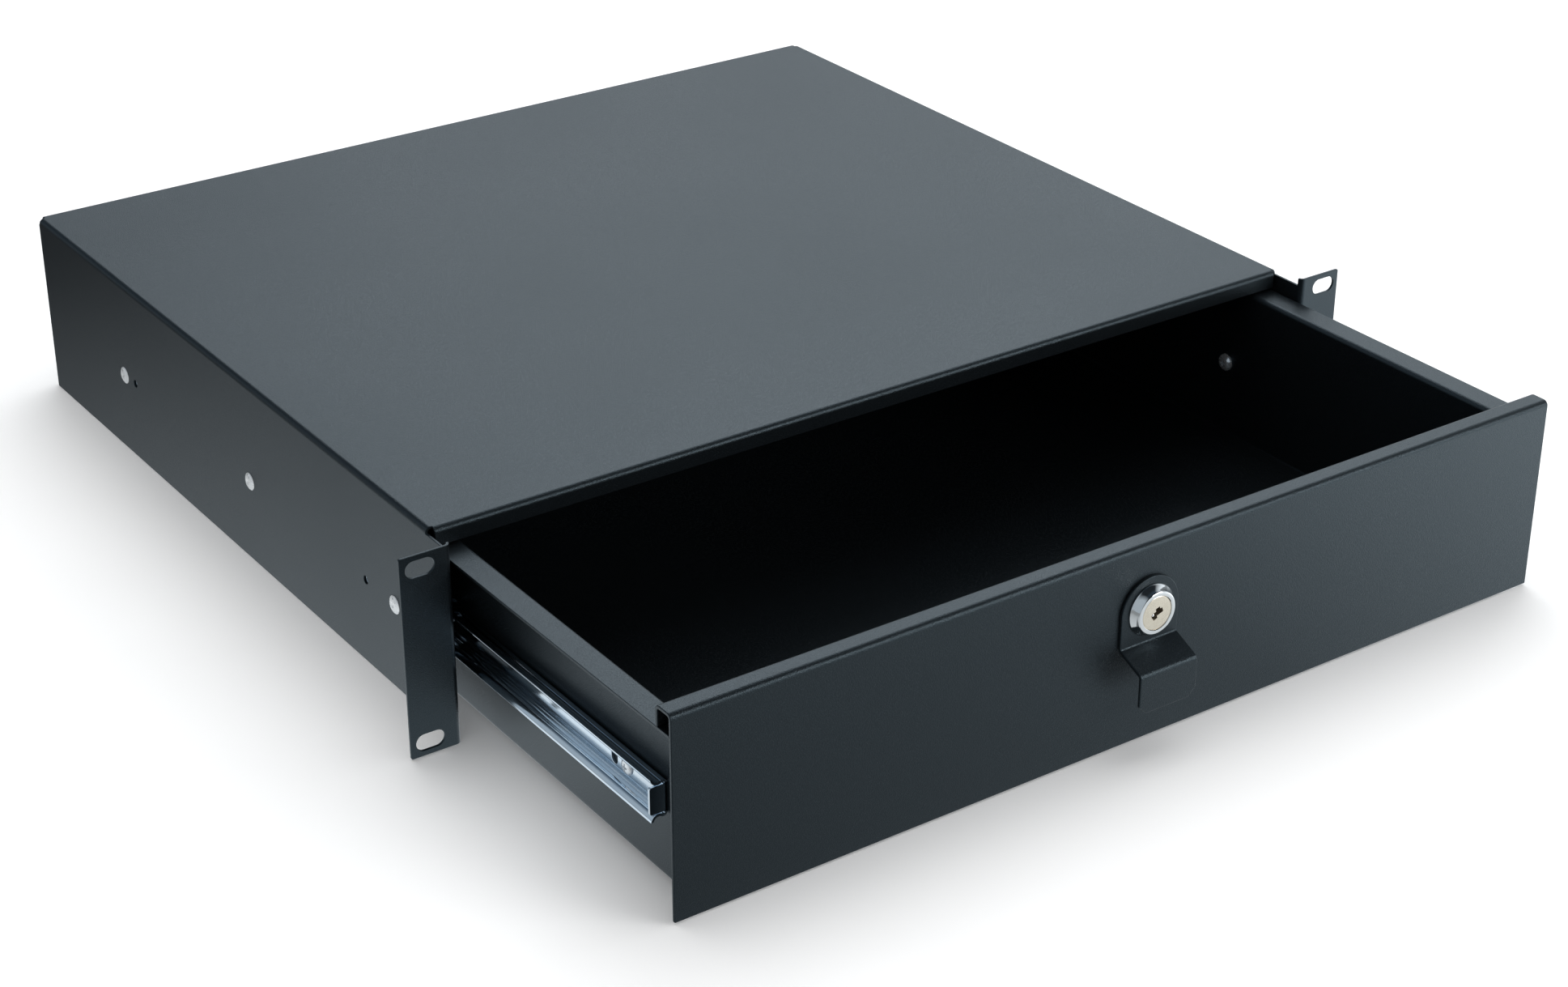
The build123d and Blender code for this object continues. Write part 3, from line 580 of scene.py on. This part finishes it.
def make_plug_nickel():
    material, tree, surface, place = new_material("plug_nickel", Metallic=1.0)
    centre = tree.nodes.new("ShaderNodeMapping")
    centre.inputs["Location"].default_value = (0.0, 0.0, -lock_axis[2])
    tree.links.new(place, centre.inputs["Vector"])
    rings = tree.nodes.new("ShaderNodeTexWave")
    rings.wave_type = "RINGS"
    rings.rings_direction = "Y"
    rings.inputs["Scale"].default_value = 1700.0
    rings.inputs["Distortion"].default_value = 0.6
    tree.links.new(centre.outputs["Vector"], rings.inputs["Vector"])
    film = noise(tree, place, 450.0, 3.0)
    tree.links.new(
        blended(tree, film, (0.80, 0.70, 0.56), (0.93, 0.84, 0.70)),
        surface.inputs["Base Color"])
    tree.links.new(
        spread(tree, rings.outputs["Fac"], 0.0, 1.0, 0.22, 0.38), surface.inputs["Roughness"])
    bump(tree, surface, rings.outputs["Fac"], 0.00001, 0.5)
    return material


plug_nickel = make_plug_nickel()
plug_front = 0.0038
plug_profile = [
    (0.0, plug_front), (0.0068, plug_front), (0.0070, plug_front - 0.00006),
    (0.00718, plug_front - 0.00022), (0.00718, -0.0084), (0.0055, -0.00845),
    (0.0055, -0.0191), (0.0, -0.0191),
]
plug = turned(plug_profile, 80)
tail_across = 0.00695
square = box((tail_across, tail_across, 0.0018), (0, 0, -0.0199))
plug = cut(plug, square, "UNION")
key_tilt = math.radians(20)
slot_depth = 0.0095
slot_middle = plug_front - 0.0042
slot_cutter = box((0.0058, 0.0020, slot_depth), (0, 0, slot_middle))
upper_ward = box((0.0022, 0.0018, slot_depth), (0.0009, 0.0012, slot_middle))
lower_ward = box((0.0021, 0.0020, slot_depth), (-0.0015, -0.0011, slot_middle))
slot_cutter = cut(slot_cutter, upper_ward, "UNION")
slot_cutter = cut(slot_cutter, lower_ward, "UNION")
bmesh.ops.rotate(slot_cutter, cent=(0, 0, 0), matrix=Matrix.Rotation(key_tilt, 3, "Z"),
                 verts=slot_cutter.verts)
plug = cut(plug, slot_cutter)
bmesh.ops.transform(plug, matrix=pointing(lock_front, seat_on_pull), verts=plug.verts)
shown(plug, "lock_plug_turned", "lock", plug_nickel, "plug_nickel", "lock_plug", sharp=35)

pin = turned([(0.0, 0.0033), (0.00045, 0.0032), (0.00078, 0.0029), (0.00085, 0.0024),
              (0.00085, -0.002), (0.0, -0.002)], 24)
bmesh.ops.translate(pin, vec=(-0.0013, -0.0010, 0.0), verts=pin.verts)
bmesh.ops.transform(pin, matrix=pointing(lock_front, seat_on_pull), verts=pin.verts)
shown(pin, "lock_first_pin", "lock", chrome, "lock_chrome")


# Cam: a flat zinc-plated steel arm on the plug's square tail, held there by a washer and a
# pan-head screw. It turns up behind the casing's front lip to lock the drawer.

arm = merged_copy("lock_cam")
round_rims(arm, 0.00025, 50)
shown(arm, "cam_arm", "lock", cage_zinc, "zinc_plate", "lock_cam")
cam_ring = merged_copy("cam_washer")
round_rims(cam_ring, 0.00012, 60)
shown(cam_ring, "cam_seat_washer", "lock", cage_zinc, "zinc_plate", "cam_washer")
cam_screw = pan_screw(length=0.009, radius=0.0037, height=0.00225)
cam_washer_back = 0.02
cam_seat = Vector(lock_axis) + Vector((0, cam_washer_back, 0))
bmesh.ops.transform(cam_screw, matrix=pointing((0, 1, 0), cam_seat), verts=cam_screw.verts)
shown(cam_screw, "cam_pan_screw", "lock", cage_zinc, "zinc_plate", "cam_screw", sharp=35)


# Studio: white paper under the drawer, wide soft lights above, behind and to the right, and
# the photograph's view. The dark coat gets its tones from what the floor and air mirror.

def make_floor_with_painted_reflection():
    """Pale paper for the camera; shiny faces see a painted reflection instead, a glow that fades
    to the back left.
    """
    material, tree, surface, place = new_material("floor_paper", Roughness=0.9)
    fibre = noise(tree, place, 14.0, 3.0)
    tree.links.new(
        blended(tree, fibre, (0.93, 0.93, 0.93), (0.96, 0.96, 0.96)),
        surface.inputs["Base Color"])
    surface.inputs["Emission Color"].default_value = (1.0, 1.0, 1.0, 1.0)
    surface.inputs["Emission Strength"].default_value = 0.10
    # Glossy rays see a glow here in place of the paper, a painted reflection whose strength is
    # set by its place on the floor.
    apart = tree.nodes.new("ShaderNodeSeparateXYZ")
    tree.links.new(place, apart.inputs["Vector"])
    behind = combine(
        tree, "ADD", spread(tree, apart.outputs["Y"], 0.02, 0.55, 0.95, 0.09),
        spread(tree, apart.outputs["X"], -0.15, 0.30, 0.0, 0.45))
    before = combine(
        tree, "ADD", spread(tree, apart.outputs["X"], -0.30, 0.10, 0.28, 0.75),
        spread(tree, apart.outputs["X"], 0.08, 0.42, 0.0, 1.35))
    where = spread(tree, apart.outputs["Y"], -0.16, -0.04, 0.0, 1.0)
    painted_reflection_strength = combine(
        tree, "ADD", combine(tree, "MULTIPLY", behind, where),
        combine(tree, "MULTIPLY", before, combine(tree, "SUBTRACT", 1.0, where)))
    mirrored = tree.nodes.new("ShaderNodeEmission")
    mirrored.inputs["Color"].default_value = (0.88, 0.955, 1.0, 1.0)
    tree.links.new(painted_reflection_strength, mirrored.inputs["Strength"])
    choice = tree.nodes.new("ShaderNodeMixShader")
    rays = tree.nodes.new("ShaderNodeLightPath")
    tree.links.new(rays.outputs["Is Glossy Ray"], choice.inputs[0])
    tree.links.new(surface.outputs["BSDF"], choice.inputs[1])
    tree.links.new(mirrored.outputs["Emission"], choice.inputs[2])
    out = next(n for n in tree.nodes if n.type == "OUTPUT_MATERIAL")
    tree.links.new(choice.outputs["Shader"], out.inputs["Surface"])
    return material


floor_mesh = bmesh.new()
bmesh.ops.create_grid(floor_mesh, x_segments=4, y_segments=4, size=5.0)
bmesh.ops.translate(floor_mesh, vec=(0, 0, cad_low.z - 0.0002), verts=floor_mesh.verts)
floor_data = bpy.data.meshes.new("floor")
floor_mesh.to_mesh(floor_data)
floor_mesh.free()
floor_data.materials.append(make_floor_with_painted_reflection())
floor = bpy.data.objects.new("floor", floor_data)
bpy.context.scene.collection.objects.link(floor)

subject = Vector((0.0, 0.12, 0.0))


def softbox(name, place, width, height, power, tint=(1.0, 1.0, 1.0), mirrored=True):
    """A soft rectangular light aimed at the drawer, which shiny faces may mirror or not."""
    lamp = bpy.data.lights.new(name, "AREA")
    lamp.shape = "RECTANGLE"
    lamp.size = width
    lamp.size_y = height
    lamp.energy = power
    lamp.color = tint
    stand = bpy.data.objects.new(name, lamp)
    stand.location = place
    stand.rotation_mode = "QUATERNION"
    stand.rotation_quaternion = (subject - Vector(place)).to_track_quat("-Z", "Y")
    stand.visible_glossy = mirrored
    bpy.context.scene.collection.objects.link(stand)


softbox("overhead_box", (0.3, 0.5, 2.2), width=2.4, height=2.0, power=34.0, mirrored=False)
softbox("back_box", (1.25, 1.6, 1.75), width=2.4, height=1.2, power=17.0,
        tint=(0.90, 0.96, 1.0))
softbox("right_box", (1.35, -2.0, 0.85), width=1.4, height=0.9, power=22.0)

world = bpy.data.worlds.new("studio_air")
world.use_nodes = True
air = world.node_tree
lit = air.nodes["Background"]
lit.inputs["Color"].default_value = (0.98, 0.99, 1.0, 1.0)
lit.inputs["Strength"].default_value = 0.5
mirrored_air = air.nodes.new("ShaderNodeBackground")
lean = air.nodes.new("ShaderNodeVectorMath")
lean.operation = "DOT_PRODUCT"
lean.inputs[1].default_value = (0.75, 0.35, 0.0)
air.links.new(air.nodes.new("ShaderNodeTexCoord").outputs["Generated"], lean.inputs[0])
side_tone = spread(air, lean.outputs["Value"], 0.36, 0.68, 0.0, 1.0)
direction = air.nodes.new("ShaderNodeSeparateXYZ")
air.links.new(lean.inputs[0].links[0].from_socket, direction.inputs["Vector"])
dark_side = blended(
    air, spread(air, direction.outputs["Y"], -0.2, 0.4, 0.0, 1.0),
    (0.012, 0.016, 0.020), (0.045, 0.075, 0.11))
left_side = blended(
    air, spread(air, direction.outputs["X"], -0.22, -0.56, 0.0, 1.0),
    dark_side, (0.36, 0.42, 0.47))
air.links.new(
    blended(air, side_tone, left_side, (0.79, 0.87, 0.93)), mirrored_air.inputs["Color"])
mirrored_air.inputs["Strength"].default_value = 1.0
air_choice = air.nodes.new("ShaderNodeMixShader")
air_rays = air.nodes.new("ShaderNodeLightPath")
air.links.new(air_rays.outputs["Is Glossy Ray"], air_choice.inputs[0])
air.links.new(lit.outputs["Background"], air_choice.inputs[1])
air.links.new(mirrored_air.outputs["Background"], air_choice.inputs[2])
air_out = next(n for n in air.nodes if n.type == "OUTPUT_WORLD")
air.links.new(air_choice.outputs["Shader"], air_out.inputs["Surface"])
bpy.context.scene.world = world
bpy.context.scene.view_settings.view_transform = "Standard"

camera_data = bpy.data.cameras.new("camera")
camera_data.sensor_width = 36.0
camera_data.lens = 68.68
camera = bpy.data.objects.new("camera", camera_data)
camera.location = (-0.6824, -0.8860, 0.5812)
view_from = (math.radians(-34.832), math.radians(27.465))
towards_camera = Vector((
    math.sin(view_from[0]) * math.cos(view_from[1]),
    -math.cos(view_from[0]) * math.cos(view_from[1]),
    math.sin(view_from[1])))
camera.rotation_mode = "QUATERNION"
camera.rotation_quaternion = (-towards_camera).to_track_quat("-Z", "Y")
bpy.context.scene.collection.objects.link(camera)
bpy.context.scene.camera = camera
